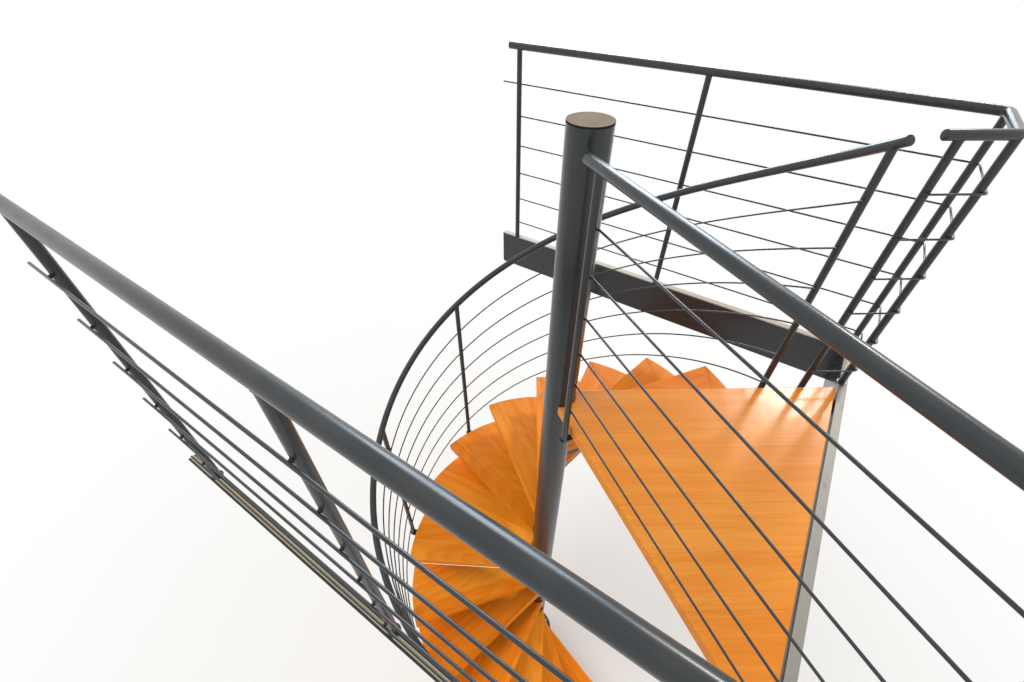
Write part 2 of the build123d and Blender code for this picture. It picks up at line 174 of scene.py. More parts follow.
# The two beads at a stud: reach from the post's middle, radius of the ring and radius of the bead
STUD_BEADS = ((POST_RADIUS + 0.0002, 0.0044, 0.0012), (STUD_REACH, 0.0036, 0.0009))
STUD_BEAD_POINTS = 16

# Fineness of the bends and of the shading, in degrees
BEND_STEP = 8.0
HELIX_STEP = 2.5
SHARP_ANGLE = 40

# Strength of the orange peel in the paint, and colour of the dust on it
PLATE_PEEL = 0.12
TUBE_PEEL = 0.05
HANDRAIL_PEEL = 0.01
ROD_PEEL = 0.03
DUST = (0.42, 0.36, 0.31, 1.0)

# Tan joint along the near trim
JOINT_HALF_WIDTH = 0.0080
JOINT_EDGE = 0.0012

# Planks of the landing: distance of their joints from the column's axis
LANDING_JOINTS = (-0.268, -0.485, -0.643, -0.806)

# Camera
CAMERA_PLACE = (0.5190, -1.1345, 4.4237)
CAMERA_TURN = 33.6685
CAMERA_TILT = 47.674
CAMERA_ROLL = 0.2808
CAMERA_LENS = 16.016
CAMERA_CLIP = (0.02, 100.0)
SENSOR = 36.0

# Floor: half its side, how far it lies under the base plate, and where it fades to white
FLOOR_HALF = 30.0
FLOOR_DROP = 0.0004
FLOOR_FADE = (1.6, 5.5)

# Lamps: place that each shines from, its spread in degrees, its strength and its colour
LOW_WINDOW = ((-2.6, 5.2, 2.8), 36.0, 3.4, (0.74, 0.87, 1.0))
SIDE_WINDOW = ((1.0, 6.5, 5.2), 9.0, 1.2, (1.0, 0.96, 0.90))
FILL = ((-3.5, -3.0, 7.5), 50.0, 1.3, (1.0, 0.99, 0.97))


# Plan geometry
def polar(radius, angle, z=0.0):
    """Point at a radius, an angle and a height."""
    return Vector((radius * math.cos(math.radians(angle)), radius * math.sin(math.radians(angle)), z))


def line_point(angle, offset, along, z=0.0):
    """Point on the line that runs at an angle and passes the axis at an offset to its left."""
    return polar(along, angle, z) + polar(offset, angle + 90)


def crossing(angle_a, offset_a, angle_b, offset_b):
    """Point where two such lines cross."""
    turn = math.radians(angle_a - angle_b)
    along = (offset_b - offset_a * math.cos(turn)) / math.sin(turn)
    return line_point(angle_a, offset_a, along)


def at_x(angle, offset, x):
    """Point of such a line at a given x."""
    along = (x + offset * math.sin(math.radians(angle))) / math.cos(math.radians(angle))
    return line_point(angle, offset, along)


def nosing_angle(tread):
    """Angle at which a tread's front edge meets its outer end."""
    return FIRST_NOSING + TREAD_TURN * (tread - 1)


def nosing_direction(tread):
    """Direction of a tread's front edge, which passes beside the axis."""
    return nosing_angle(tread) - NOSING_SKEW


def tread_underside(tread):
    """Height of a tread's lower face."""
    return FLOOR - RISER * tread - TREAD_THICKNESS


def spiral_handrail_z(angle):
    """Height of the spiral handrail's axis at an angle."""
    return FLOOR - RISER + HANDRAIL_ABOVE_NOSING - SLOPE * (angle - FIRST_NOSING)


RETURN_CORNER = at_x(NORTH_ANGLE, NORTH_GUARD_OFFSET, EAST_LINE)
RETURN_POST = RETURN_CORNER - polar(RETURN_POST_SPACING, NORTH_ANGLE)
LANDING_CORNER = at_x(SOUTH_ANGLE, SOUTH_GUARD_OFFSET, EAST_LINE)
COLUMN_POST_DISTANCE = COLUMN_RADIUS + COLUMN_TO_GUARD_POST + POST_RADIUS
COLUMN_POST = line_point(
    SOUTH_ANGLE, SOUTH_GUARD_OFFSET, math.sqrt(COLUMN_POST_DISTANCE**2 - SOUTH_GUARD_OFFSET**2)
)
NORTH_CORNERS = [
    Vector((GUARD_WEST_END, NORTH_LINE, 0)),
    Vector((EAST_LINE, NORTH_LINE, 0)),
    RETURN_CORNER,
    RETURN_POST - polar(RETURN_HANDRAIL_PAST_POST, NORTH_ANGLE),
]
SOUTH_CORNERS = [
    Vector((GUARD_WEST_END, SOUTH_LINE, 0)),
    Vector((EAST_LINE, SOUTH_LINE, 0)),
    LANDING_CORNER,
    COLUMN_POST - polar(LANDING_HANDRAIL_PAST_POST, SOUTH_ANGLE),
]


# Shader maths
class Wire:
    """A number that changes over a surface. Sums, products and quotients of it add Math nodes."""

    def __init__(self, nodes, socket):
        self.nodes = nodes
        self.socket = socket

    def __add__(self, other):
        return self.nodes.maths("ADD", self, other)

    __radd__ = __add__

    def __sub__(self, other):
        return self.nodes.maths("SUBTRACT", self, other)

    def __rsub__(self, other):
        return self.nodes.maths("SUBTRACT", other, self)

    def __mul__(self, other):
        return self.nodes.maths("MULTIPLY", self, other)

    __rmul__ = __mul__

    def __truediv__(self, other):
        return self.nodes.maths("DIVIDE", self, other)

    def __rtruediv__(self, other):
        return self.nodes.maths("DIVIDE", other, self)


class Nodes:
    """One node tree and the way to add nodes to it."""

    def __init__(self, tree):
        self.tree = tree

    def add(self, kind, settings, inputs):
        """Add one node: its settings first, then the values or links of its sockets."""
        node = self.tree.nodes.new(kind)
        for name, value in settings.items():
            setattr(node, name, value)
        for socket, value in inputs.items():
            if isinstance(value, Wire):
                value = value.socket
            if isinstance(value, bpy.types.NodeSocket):
                self.tree.links.new(value, node.inputs[socket])
            else:
                node.inputs[socket].default_value = value
        return node

    def maths(self, operation, a, b=0.0):
        """Result of one Math node."""
        node = self.add("ShaderNodeMath", {"operation": operation}, {0: a, 1: b})
        return Wire(self, node.outputs[0])

    def blend(self, factor, first, second, output):
        """Blend two shaders and lead the result to the tree's output node."""
        inputs = {0: factor, 1: first.outputs[0], 2: second.outputs[0]}
        node = self.add("ShaderNodeMixShader", {}, inputs)
        self.tree.links.new(node.outputs[0], self.tree.nodes[output].inputs["Surface"])


class Finish(Nodes):
    """One material and the nodes that make it."""

    def __init__(self, name, roughness=0.4, metallic=0.0, specular=0.5, coat_roughness=0.1):
        self.material = bpy.data.materials.new(name)
        self.material.use_nodes = True
        super().__init__(self.material.node_tree)
        self.shader = self.tree.nodes["Principled BSDF"]
        self.shader.inputs["Roughness"].default_value = roughness
        self.shader.inputs["Metallic"].default_value = metallic
        self.shader.inputs["Specular IOR Level"].default_value = specular
        self.shader.inputs["Coat Roughness"].default_value = coat_roughness

    def place(self):
        """Place on the object in the stair's own frame."""
        return self.add("ShaderNodeTexCoord", {}, {}).outputs["Object"]

    def facing(self):
        """Direction that the surface faces."""
        return self.add("ShaderNodeNewGeometry", {}, {}).outputs["Normal"]

    def along(self, vector, direction):
        """How far a vector reaches in a direction."""
        node = self.add("ShaderNodeVectorMath", {"operation": "DOT_PRODUCT"}, {0: vector, 1: direction})
        return Wire(self, node.outputs["Value"])

    def distance(self, vector, scale):
        """Length of a vector after each part is scaled."""
        scaled = self.add("ShaderNodeVectorMath", {"operation": "MULTIPLY"}, {0: vector, 1: scale})
        node = self.add("ShaderNodeVectorMath", {"operation": "LENGTH"}, {0: scaled.outputs[0]})
        return Wire(self, node.outputs["Value"])

    def vector(self, x, y, z):
        """Vector of three numbers."""
        return self.add("ShaderNodeCombineXYZ", {}, {0: x, 1: y, 2: z}).outputs[0]

    def cloud(self, vector, scale=1.0, detail=3.0, roughness=0.55, distortion=0.0):
        """Soft random variation from 0 to 1."""
        inputs = {
            "Vector": vector, "Scale": scale, "Detail": detail, "Roughness": roughness,
            "Distortion": distortion,
        }
        return Wire(self, self.add("ShaderNodeTexNoise", {}, inputs).outputs[0])

    def chance(self, vector):
        """Random number that is the same wherever the vector is."""
        node = self.add("ShaderNodeTexWhiteNoise", {"noise_dimensions": "3D"}, {"Vector": vector})
        return Wire(self, node.outputs["Value"])

    def step(self, value, low, high):
        """Smooth step of a value, from 0 at one limit to 1 at the other."""
        settings = {"interpolation_type": "SMOOTHSTEP", "clamp": True}
        return Wire(self, self.add("ShaderNodeMapRange", settings, {0: value, 1: low, 2: high}).outputs[0])

    def mix(self, factor, a, b):
        """Mix of two colours."""
        settings = {"data_type": "RGBA", "clamp_factor": True}
        return self.add("ShaderNodeMix", settings, {0: factor, 6: a, 7: b}).outputs[2]

    def bump(self, height, strength, distance):
        """Lead a height into the shader's normal."""
        node = self.add(
            "ShaderNodeBump", {}, {"Height": height, "Strength": strength, "Distance": distance}
        )
        self.lead("Normal", node.outputs[0])

    def worn_edge(self, radius):
        """1 along the sharp edges of a piece and 0 on its faces."""
        rounded = self.add("ShaderNodeBevel", {"samples": 4}, {"Radius": radius}).outputs[0]
        return self.step(self.along(rounded, self.facing()), 0.985, 0.90)

    def lead(self, socket, value):
        """Link a value to one of the shader's sockets."""
        self.tree.links.new(value.socket if isinstance(value, Wire) else value, self.shader.inputs[socket])


def linear(colour, gain=1.0):
    """Colour with alpha, made lighter or darker."""
    return (*[min(1.0, c * gain) for c in colour[:3]], 1.0)


# Finishes
def steel_paint(name, colour, orange_peel, edges):
    """Satin anthracite paint, cloudy, with dust on top and worn edges where they are asked for."""
    finish = Finish(name, roughness=0.3, specular=0.40, coat_roughness=0.20)
    place = finish.place()
    patches = finish.cloud(place, 3.5, 4.0)
    grain = finish.cloud(place, 420.0, 2.0)
    dust = finish.step(finish.along(finish.facing(), UP), 0.35, 1.0)
    dust = dust * finish.step(finish.cloud(place, 9.0, 2.0), 0.35, 0.75)
    tone = finish.mix(patches, linear(colour, 0.82), linear(colour, 1.18))
    tone = finish.mix(grain * 0.12, tone, linear(colour, 1.7))
    tone = finish.mix(dust * 0.05, tone, DUST)
    gloss = 0.24 + patches * 0.08 + dust * 0.10
    finish.lead("Coat Weight", 0.16 - dust * 0.1)
    if edges:
        worn = finish.worn_edge(0.0025) * finish.step(finish.cloud(place, 30.0, 4.0), 0.25, 0.7)
        tone = finish.mix(worn * 0.55, tone, linear(colour, 3.2))
        gloss = gloss - worn * 0.10
    finish.lead("Base Color", tone)
    finish.lead("Roughness", gloss)
    finish.bump(finish.cloud(place, 70.0, 2.0), orange_peel, 0.0006)
    return finish.material


def cap_painted_reflection(name, paint, dust):
    """Painted cap whose top carries a painted reflection in a matt, mottled colour, the one given as dust.
    """
    finish = Finish(name, specular=0.0)
    place = finish.place()
    # Painted reflection: the faces that look up take the colour given as dust, and the sides keep the
    # paint
    top = finish.step(finish.along(finish.facing(), UP), 0.6, 0.95)
    patches = finish.cloud(place, 26.0, 4.0)
    painted_reflection = finish.mix(patches, linear(dust, 0.80), linear(dust, 1.2))
    finish.lead("Base Color", finish.mix(top, linear(paint), painted_reflection))
    finish.lead("Roughness", 0.55 + patches * 0.2)
    finish.bump(patches, 0.05, 0.0004)
    return finish.material


def zinc(name, colour):
    """Zinc-plated steel of the screws and nuts, slightly mottled."""
    finish = Finish(name, metallic=1.0)
    place = finish.place()
    mottle = finish.cloud(place, 160.0, 3.0)
    finish.lead("Base Color", finish.mix(mottle, linear(colour, 0.75), linear(colour, 1.1)))
    finish.lead("Roughness", 0.28 + mottle * 0.22)
    finish.bump(finish.cloud(place, 900.0, 2.0), 0.25, 0.0002)
    return finish.material


def weld_metal(name, colour):
    """Painted weld bead with its ripples."""
    finish = Finish(name)
    place = finish.place()
    ripple = finish.cloud(place, 520.0, 2.0, 0.6, 0.4)
    finish.lead("Base Color", finish.mix(ripple, linear(colour, 0.7), linear(colour, 1.5)))
    finish.lead("Roughness", 0.36 + ripple * 0.18)
    finish.bump(ripple, 0.5, 0.0008)
    return finish.material


def aluminium(name, colour):
    """Anodised strip, brushed along its length, with scuffs from shoes."""
    finish = Finish(name, metallic=1.0)
    place = finish.place()
    x = finish.along(place, (1.0, 0.0, 0.0))
    y = finish.along(place, (0.0, 1.0, 0.0))
    z = finish.along(place, (0.0, 0.0, 1.0))
    lines = finish.cloud(finish.vector(x * 1400.0, y * 9.0, z * 1400.0), 1.0, 4.0, 0.6)
    smears = finish.cloud(finish.vector(x * 60.0, y * 22.0, z * 60.0), 1.0, 5.0, 0.7)
    scuff = finish.step(smears, 0.55, 0.78)
    tone = finish.mix(lines, linear(colour, 0.80), linear(colour, 1.08))
    tone = finish.mix(scuff * 0.35, tone, linear(colour, 0.55))
    finish.lead("Base Color", tone)
    finish.lead("Roughness", 0.50 + lines * 0.14 + scuff * 0.15)
    finish.bump(lines, 0.18, 0.0003)
    return finish.material


def cream_trim(name, colour):
    """Cream edge trim with a faint moulded texture, stains and worn edges."""
    finish = Finish(name, roughness=0.5)
    place = finish.place()
    pebble = finish.cloud(place, 700.0, 3.0)
    stain = finish.step(finish.cloud(place, 6.0, 5.0, 0.65), 0.45, 0.8)
    tone = finish.mix(stain * 0.3, linear(colour), linear(colour, 0.72))
    worn = finish.worn_edge(0.002)
    tone = finish.mix(worn * 0.4, tone, linear(colour, 1.12))
    finish.lead("Base Color", tone)
    finish.lead("Roughness", 0.46 + pebble * 0.14 - worn * 0.1)
    finish.bump(pebble, 0.2, 0.0003)
    return finish.material


def jointed_trim(name, colour, paint):
    """Painted steel trim with a tan joint along its middle, dusty and unevenly filled."""
    finish = Finish(name, roughness=0.4, specular=0.3)
    place = finish.place()
    low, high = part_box("trim_south")
    waver = finish.cloud(place, 9.0, 3.0) * 0.0016
    off = finish.along(place, (0.0, 1.0, 0.0)) - (low.y + high.y) / 2 + waver
    filled = finish.step(finish.maths("ABSOLUTE", off), JOINT_HALF_WIDTH, JOINT_HALF_WIDTH - JOINT_EDGE)
    crumbs = finish.cloud(place, 420.0, 4.0, 0.7)
    joint = finish.mix(crumbs, linear(colour, 0.72), linear(colour, 1.2))
    patches = finish.cloud(place, 4.0, 4.0)
    painted = finish.mix(patches, linear(paint, 0.8), linear(paint, 1.3))
    finish.lead("Base Color", finish.mix(filled, painted, joint))
    finish.lead("Roughness", 0.34 + filled * 0.4 + patches * 0.08)
    finish.bump(crumbs * filled - filled * 0.6, 0.4, 0.0006)
    return finish.material


def grain(finish, along, across, height, seed, board, figure):
    """Tone, pores and streaks of flat-sawn wood. Board is a number that differs from board to board."""
    pick = finish.chance(finish.vector(board, seed, 3.1))
    other = finish.chance(finish.vector(board, seed, 7.7))
    drift = finish.cloud(finish.vector(along * 1.6, board * 5.3 + seed, pick * 9.0), 1.0, 2.0)
    side = across + drift * 0.035 + pick * 0.12 - 0.08
    deep = height + along * (other * 0.09 - 0.045) + drift * 0.02 + pick * 0.05 + 0.02
    rings = finish.distance(finish.vector(side, deep, 0.0), IN_PLAN) * (120.0 + other * 60.0)
    wobble = finish.cloud(finish.vector(along * 1.6, across * 12.0, height * 12.0 + seed), 1.0, 2.0, 0.5)
    ring = finish.maths("FRACT", rings + wobble * 0.8)
    late = finish.step(ring, 0.15, 0.90) * (1.0 - finish.step(ring, 0.90, 1.0))
    broad = finish.cloud(
        finish.vector(along * 1.8, across * 26.0, height * 26.0 + board * 7.0), 1.0, 3.0, 0.5
    )
    streaks = finish.cloud(
        finish.vector(along * 2.0, across * 170.0, height * 170.0 + board * 11.0), 1.0, 4.0, 0.62
    )
    fibre = finish.cloud(finish.vector(along * 24.0, across * 900.0, height * 900.0 + seed), 1.0, 3.0, 0.6)
    pores = finish.step(fibre, 0.58, 0.72)
    tone = late * figure + streaks * 0.46 + broad * 0.34 + (pick - 0.5) * 0.22 + fibre * 0.14
    return tone, pores, streaks


def planks(finish, across, joints):
    """Number of each plank and the dark line along its joints."""
    board = finish.maths("LESS_THAN", across, joints[0])
    seam = finish.step(finish.maths("ABSOLUTE", across - joints[0]), 0.0009, 0.0003)
    for joint in joints[1:]:
        board = board + finish.maths("LESS_THAN", across, joint)
        line = finish.step(finish.maths("ABSOLUTE", across - joint), 0.0009, 0.0003)
        seam = finish.maths("MAXIMUM", seam, line)
    return board, seam


def staves(finish, across, width, seed):
    """Number of each glued stave and the fine line along its joints."""
    places = across / width + random.Random(seed).uniform(0.0, 1.0)
    from_joint = finish.maths("ABSOLUTE", finish.maths("FRACT", places) - 0.5)
    return finish.maths("FLOOR", places), finish.step(from_joint, 0.497, 0.4995)


def wood(name, seed, angle, palette, figure, gloss, shine, joints=(), stave=None):
    """Oiled or lacquered hardwood, its grain at an angle in plan, in planks with joints or in staves."""
    finish = Finish(name, roughness=0.4, specular=shine, coat_roughness=0.10)
    place = finish.place()
    along = finish.along(place, polar(1.0, angle))
    across = finish.along(place, polar(1.0, angle + 90))
    height = finish.along(place, UP)
    upward = finish.along(finish.facing(), UP)
    if joints:
        board, seam = planks(finish, across, joints)
    else:
        board, seam = staves(finish, across, stave, seed)
    tone, pores, streaks = grain(finish, along, across, height, seed, board, figure)
    light, mid, dark = palette
    colour = finish.mix(finish.step(tone, 0.30, 0.58), light, mid)
    colour = finish.mix(finish.step(tone, 0.52, 0.86), colour, dark)
    colour = finish.mix(pores * 0.30, colour, linear(dark, 0.55))
    colour = finish.mix(seam * 0.45, colour, linear(dark, 0.35))
    # Lighter sharp edges: partly wear, partly a painted highlight along the lit edges and nosings
    worn = finish.worn_edge(0.004)
    colour = finish.mix(worn * 0.35, colour, linear(light, 1.15))
    # Painted shade: the wood turns dark in a thin ring where it meets the column
    painted_column_shade = finish.step(finish.distance(place, IN_PLAN), COLUMN_RADIUS + 0.007, COLUMN_RADIUS + 0.001)
    colour = finish.mix(painted_column_shade * 0.75, colour, linear(dark, 0.22))
    walked = finish.cloud(place, 5.0, 4.0, 0.6)
    finish.lead("Base Color", colour)
    finish.lead("Roughness", gloss + walked * 0.10 + pores * 0.16 + seam * 0.2 - worn * 0.05)
    finish.lead("Coat Weight", finish.step(upward, 0.2, 0.9) * (shine * 0.8 - walked * shine * 0.5))
    finish.bump(streaks * 0.5 + (1.0 - pores) * 0.5 - seam * 1.2, 0.22, 0.0006)
    return finish.material


# Meshes
def rounded_path(corners, z, bend):
    """Points of a level path whose corners are rounded."""
    points = [Vector((corners[0].x, corners[0].y, z))]
    for before, corner, after in zip(corners, corners[1:], corners[2:]):
        back = (before - corner).normalized()
        ahead = (after - corner).normalized()
        half = back.angle(ahead) / 2
        middle = corner + (back + ahead).normalized() * (bend / math.sin(half))
        start = corner + back * (bend / math.tan(half)) - middle
        first = math.degrees(math.atan2(start.y, start.x))
        turn = 180 - math.degrees(back.angle(ahead))
        if back.cross(ahead).z > 0:
            turn = -turn
        steps = max(2, round(abs(turn) / BEND_STEP))
        for at in range(steps + 1):
            points.append(middle + polar(bend, first + turn * at / steps, z))
    points.append(Vector((corners[-1].x, corners[-1].y, z)))
    return points


def offset_corners(corners, distance):
    """Corners of a path moved sideways, to the left of its direction."""
    lines = []
    for start, end in zip(corners, corners[1:]):
        angle = math.degrees(math.atan2(end.y - start.y, end.x - start.x))
        lines.append((angle, start.dot(polar(1.0, angle + 90)) + distance))
    first = line_point(*lines[0], corners[0].dot(polar(1.0, lines[0][0])))
    last = line_point(*lines[-1], corners[-1].dot(polar(1.0, lines[-1][0])))
    return [first, *[crossing(*a, *b) for a, b in zip(lines, lines[1:])], last]


def helix_path(radius, top_angle, bottom_angle, z_at):
    """Points of a helix between two angles."""
    sweep = bottom_angle - top_angle
    steps = math.ceil(sweep / HELIX_STEP)
    angles = [top_angle + sweep * at / steps for at in range(steps + 1)]
    return [polar(radius, angle, z_at(angle)) for angle in angles]


def tangents(path, closed=False):
    """Direction of a path at each of its points."""
    count = len(path)
    found = []
    for at in range(count):
        before = path[at - 1] if closed or at else path[0]
        after = path[(at + 1) % count] if closed or at < count - 1 else path[-1]
        found.append((after - before).normalized())
    return found


def ring_round(centre, direction, radius, sides):
    """Circle of points across a direction, its first point as near to the top as it can be."""
    up = UP if abs(direction.z) < 0.99 else Vector((1, 0, 0))
    side = direction.cross(up).normalized()
    top = side.cross(direction).normalized()
    turns = [2 * math.pi * at / sides for at in range(sides)]
    return [centre + (top * math.cos(turn) + side * math.sin(turn)) * radius for turn in turns]


class Shape:
    """Points and faces of a piece while it is being made."""

    def __init__(self):
        self.points = []
        self.faces = []

    def loft(self, rings, closed=False):
        """Skin over rings of points, closed into a loop or with a face over each end."""
        sides = len(rings[0])
        start = len(self.points)
        end = start + (len(rings) - 1) * sides
        for ring in rings:
            self.points.extend(ring)
        for row in range(start, end, sides):
            for at in range(sides):
                a = row + at
                b = row + (at + 1) % sides
                self.faces.append((a, b, b + sides, a + sides))
        if closed:
            for at in range(sides):
                b = (at + 1) % sides
                self.faces.append((end + at, end + b, start + b, start + at))
        else:
            self.faces.append(tuple(start + at for at in reversed(range(sides))))
            self.faces.append(tuple(end + at for at in range(sides)))

    def bar(self, path, radius, sides, end_round):
        """Round bar along a path, with rounded ends."""
        directions = tangents(path)
        curve = []
        for degrees in (0, 30, 60, 90):
            turn = math.radians(degrees)
            curve.append((end_round * (1 - math.sin(turn)), radius - end_round * (1 - math.cos(turn))))
        first = [(path[0] + directions[0] * inset, directions[0], r) for inset, r in reversed(curve)]
        body = [(centre, direction, radius) for centre, direction in zip(path[1:-1], directions[1:-1])]
        last = [(path[-1] - directions[-1] * inset, directions[-1], r) for inset, r in curve]
        self.loft([ring_round(*spot, sides) for spot in (*first, *body, *last)])

    def bead(self, path, radius, seed, closed, sides=8):
        """Weld bead along a path, with the ripples of a hand-laid seam."""
        chance = random.Random(seed)
        rings = [
            ring_round(centre, direction, radius * chance.uniform(0.86, 1.12), sides)
            for centre, direction in zip(path, tangents(path, closed))
        ]
        self.loft(rings, closed)

    def turned(self, centre, direction, profile, sides, across_flats=0.0):
        """Turned shape from pairs of distance along and radius; a hexagon where across_flats is set."""
        rings = []
        for reach, radius in profile:
            middle = centre + direction * reach
            ring = ring_round(middle, direction, radius, sides)
            if across_flats:
                for at, point in enumerate(ring):
                    turn = (math.degrees(2 * math.pi * at / sides) % 60) - 30
                    limit = across_flats / 2 / math.cos(math.radians(turn))
                    ring[at] = middle + (point - middle).normalized() * min(radius, limit)
            rings.append(ring)
        self.loft(rings)

    def piece(self, name, material, slot):
        """Smooth piece of this shape, riding on the stair's body."""
        mesh = bpy.data.meshes.new(name)
        mesh.from_pydata([tuple(point) for point in self.points], [], self.faces)
        mesh.update()
        mesh.polygons.foreach_set("use_smooth", [True] * len(mesh.polygons))
        piece = bpy.data.objects.new(name, mesh)
        bpy.context.scene.collection.objects.link(piece)
        mesh.materials.append(material)
        mesh.set_sharp_from_angle(angle=math.radians(SHARP_ANGLE))
        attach(piece, BODY)
        return piece


def node_finish(node, material):
    """Give a carried-over node its finish."""
    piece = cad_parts[node]
    piece.data.materials.clear()
    piece.data.materials.append(material)


def straight_posts():
    """Plan place of each post of the level guards with the direction that its studs face."""
    north = [(Vector((x, NORTH_LINE, 0)), 90.0) for x in NORTH_POSTS]
    north.append((Vector((EAST_LINE, NORTH_LINE, 0)), 45.0))
    north.append((RETURN_CORNER, (NORTH_ANGLE - 90) / 2))
    north.append((RETURN_POST, NORTH_ANGLE - 90))
    south = [(Vector((x, SOUTH_LINE, 0)), -90.0) for x in SOUTH_POSTS]
    south.append((Vector((EAST_LINE, SOUTH_LINE, 0)), -45.0))
    south.append((LANDING_CORNER, (SOUTH_ANGLE + 90) / 2))
    south.append((COLUMN_POST, SOUTH_ANGLE + 90))
    return {"north": north, "south": south}


def spiral_posts():
    """Angle of each spiral post and the height of its foot."""
    posts = [(SPIRAL_END_POST_ANGLE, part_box("landing_joist_north")[0].z)]
    for tread, before_nosing in TREAD_POSTS:
        posts.append((nosing_angle(tread) - before_nosing, tread_underside(tread)))
    posts.append((SPIRAL_START_POST_ANGLE, 0.0))
    return posts


def seam_ring(centre, radius, tree, low, top):
    """Ring round a post where it meets the handrail above it, or at the top where nothing is met."""
    ring = []
    for at in range(SEAM_POINTS):
        point = centre + polar(radius, 360 * at / SEAM_POINTS)
        hit = tree.ray_cast(Vector((point.x, point.y, low)), UP, top - low)[0]
        ring.append(Vector((point.x, point.y, hit.z if hit else top)))
    return ring


def foot_ring(centre, radius, floor):
    """Ring round the foot of a post."""
    height = floor + FOOT_BEAD_HEIGHT
    return [centre + polar(radius, 360 * at / FOOT_POINTS, height) for at in range(FOOT_POINTS)]


# Settings
def colour_setting(name, description, default):
    """Setting that holds a colour."""
    return bpy.props.FloatVectorProperty(
        name=name, description=description, subtype="COLOR", default=default, min=0.0, max=1.0
    )


class StairSizes(bpy.types.PropertyGroup):
    """Sizes of the tubes, rods and fastenings."""

    handrail: bpy.props.FloatProperty(
        name="Handrail", description="Diameter of the handrails", default=0.031, unit="LENGTH"
    )
    rod: bpy.props.FloatProperty(
        name="Rod", description="Diameter of the rods", default=0.007, unit="LENGTH"
    )
    weld: bpy.props.FloatProperty(
        name="Weld", description="Thickness of a weld bead", default=0.0032, unit="LENGTH"
    )
    stave: bpy.props.FloatProperty(
        name="Stave", description="Width of a stave in the treads", default=0.142, unit="LENGTH"
    )


class StairColours(bpy.types.PropertyGroup):
    """Colours of the finishes."""

    paint: colour_setting("Steel paint", "Anthracite of the steel", (0.025, 0.030, 0.034))
    # Colour of the painted reflection on the top of the column's cap
    cap: colour_setting("Cap", "Dusty top of the column", (0.32, 0.27, 0.225))
    tread_light: colour_setting("Tread light", "Lightest tone of the treads", (0.96, 0.345, 0.030))
    tread_mid: colour_setting("Tread middle", "Main tone of the treads", (0.87, 0.240, 0.008))
    tread_dark: colour_setting("Tread dark", "Tone of the treads' late wood", (0.68, 0.150, 0.003))
    landing_light: colour_setting("Landing light", "Lightest tone of the landing", (0.90, 0.340, 0.046))
    landing_mid: colour_setting("Landing middle", "Main tone of the landing", (0.82, 0.255, 0.018))
    landing_dark: colour_setting("Landing dark", "Tone of the landing's late wood", (0.70, 0.180, 0.008))
    strip: colour_setting("Threshold", "Anodised aluminium", (0.25, 0.235, 0.21))
    trim: colour_setting("Edge trim", "Cream trim of the opening", (0.40, 0.345, 0.26))
    joint: colour_setting("Joint", "Tan joint in the near trim", (0.47, 0.36, 0.21))
    zinc: colour_setting("Screws", "Zinc of the screws and nuts", (0.58, 0.59, 0.61))


class StageSettings(bpy.types.PropertyGroup):
    """Floor, world and lamps."""

    floor: colour_setting("Floor", "Pale floor", (0.86, 0.86, 0.85))
    world: bpy.props.FloatProperty(
        name="World", description="Strength of the light from all round", default=0.50, min=0.0
    )
    lamp: bpy.props.FloatProperty(
        name="Lamps", description="Share of the lamps' full power", default=1.0, min=0.0
    )


# Operators
class STAIR_OT_steelwork(bpy.types.Operator):
    """Paint the column, the brackets, the joists and the edge of the opening"""

    bl_idname = "stair.steelwork"
    bl_label = "Steelwork"

    def execute(self, context):
        colours = context.scene.stair_colours
        plate = steel_paint("anthracite_plate", colours.paint, PLATE_PEEL, edges=True)
        for node in (
            "base_plate", "column", "tread_brackets", "landing_joist_north",
            "landing_joist_south", "fascia_north", "fascia_south", "fascia_east",
        ):
            node_finish(node, plate)
        # The cap's top gets a painted reflection
        node_finish("column_cap", cap_painted_reflection("cap_painted_reflection", colours.paint, colours.cap))
        tube = steel_paint("anthracite_tube", colours.paint, TUBE_PEEL, edges=False)
        for guard in ("north", "south", "spiral"):
            node_finish(f"{guard}_posts", tube)
        return {"FINISHED"}


class STAIR_OT_treads(bpy.types.Operator):
    """Give each tread its own piece of wood"""

    bl_idname = "stair.treads"
    bl_label = "Treads"

    def execute(self, context):
        colours = context.scene.stair_colours
        tones = (colours.tread_light, colours.tread_mid, colours.tread_dark)
        stave = context.scene.stair_sizes.stave
        for number in range(1, TREADS + 1):
            chance = random.Random(number * 17)
            gain = chance.uniform(0.92, 1.08)
            palette = [linear(tone, gain) for tone in tones]
            angle = nosing_direction(number) + chance.uniform(-2.0, 2.0)
            material = wood(
                f"tread_wood_{number:02d}", number * 3.7, angle, palette,
                figure=0.09, gloss=0.34, shine=0.10, stave=stave,
            )
            node_finish(f"tread_{number:02d}", material)
        return {"FINISHED"}


class STAIR_OT_landing(bpy.types.Operator):
    """Finish the landing, the threshold strip and the trims"""

    bl_idname = "stair.landing"
    bl_label = "Landing"

    def execute(self, context):
        colours = context.scene.stair_colours
        tones = (colours.landing_light, colours.landing_mid, colours.landing_dark)
        palette = [linear(tone) for tone in tones]
        material = wood(
            "landing_wood", 91.0, NORTH_ANGLE, palette,
            figure=0.04, gloss=0.20, shine=0.20, joints=LANDING_JOINTS,
        )
        node_finish("landing_board", material)
        node_finish("threshold_strip", aluminium("anodised_strip", colours.strip))
        node_finish("trim_north", cream_trim("cream_trim", colours.trim))
        node_finish("trim_south", jointed_trim("jointed_trim", colours.joint, colours.paint))
        return {"FINISHED"}


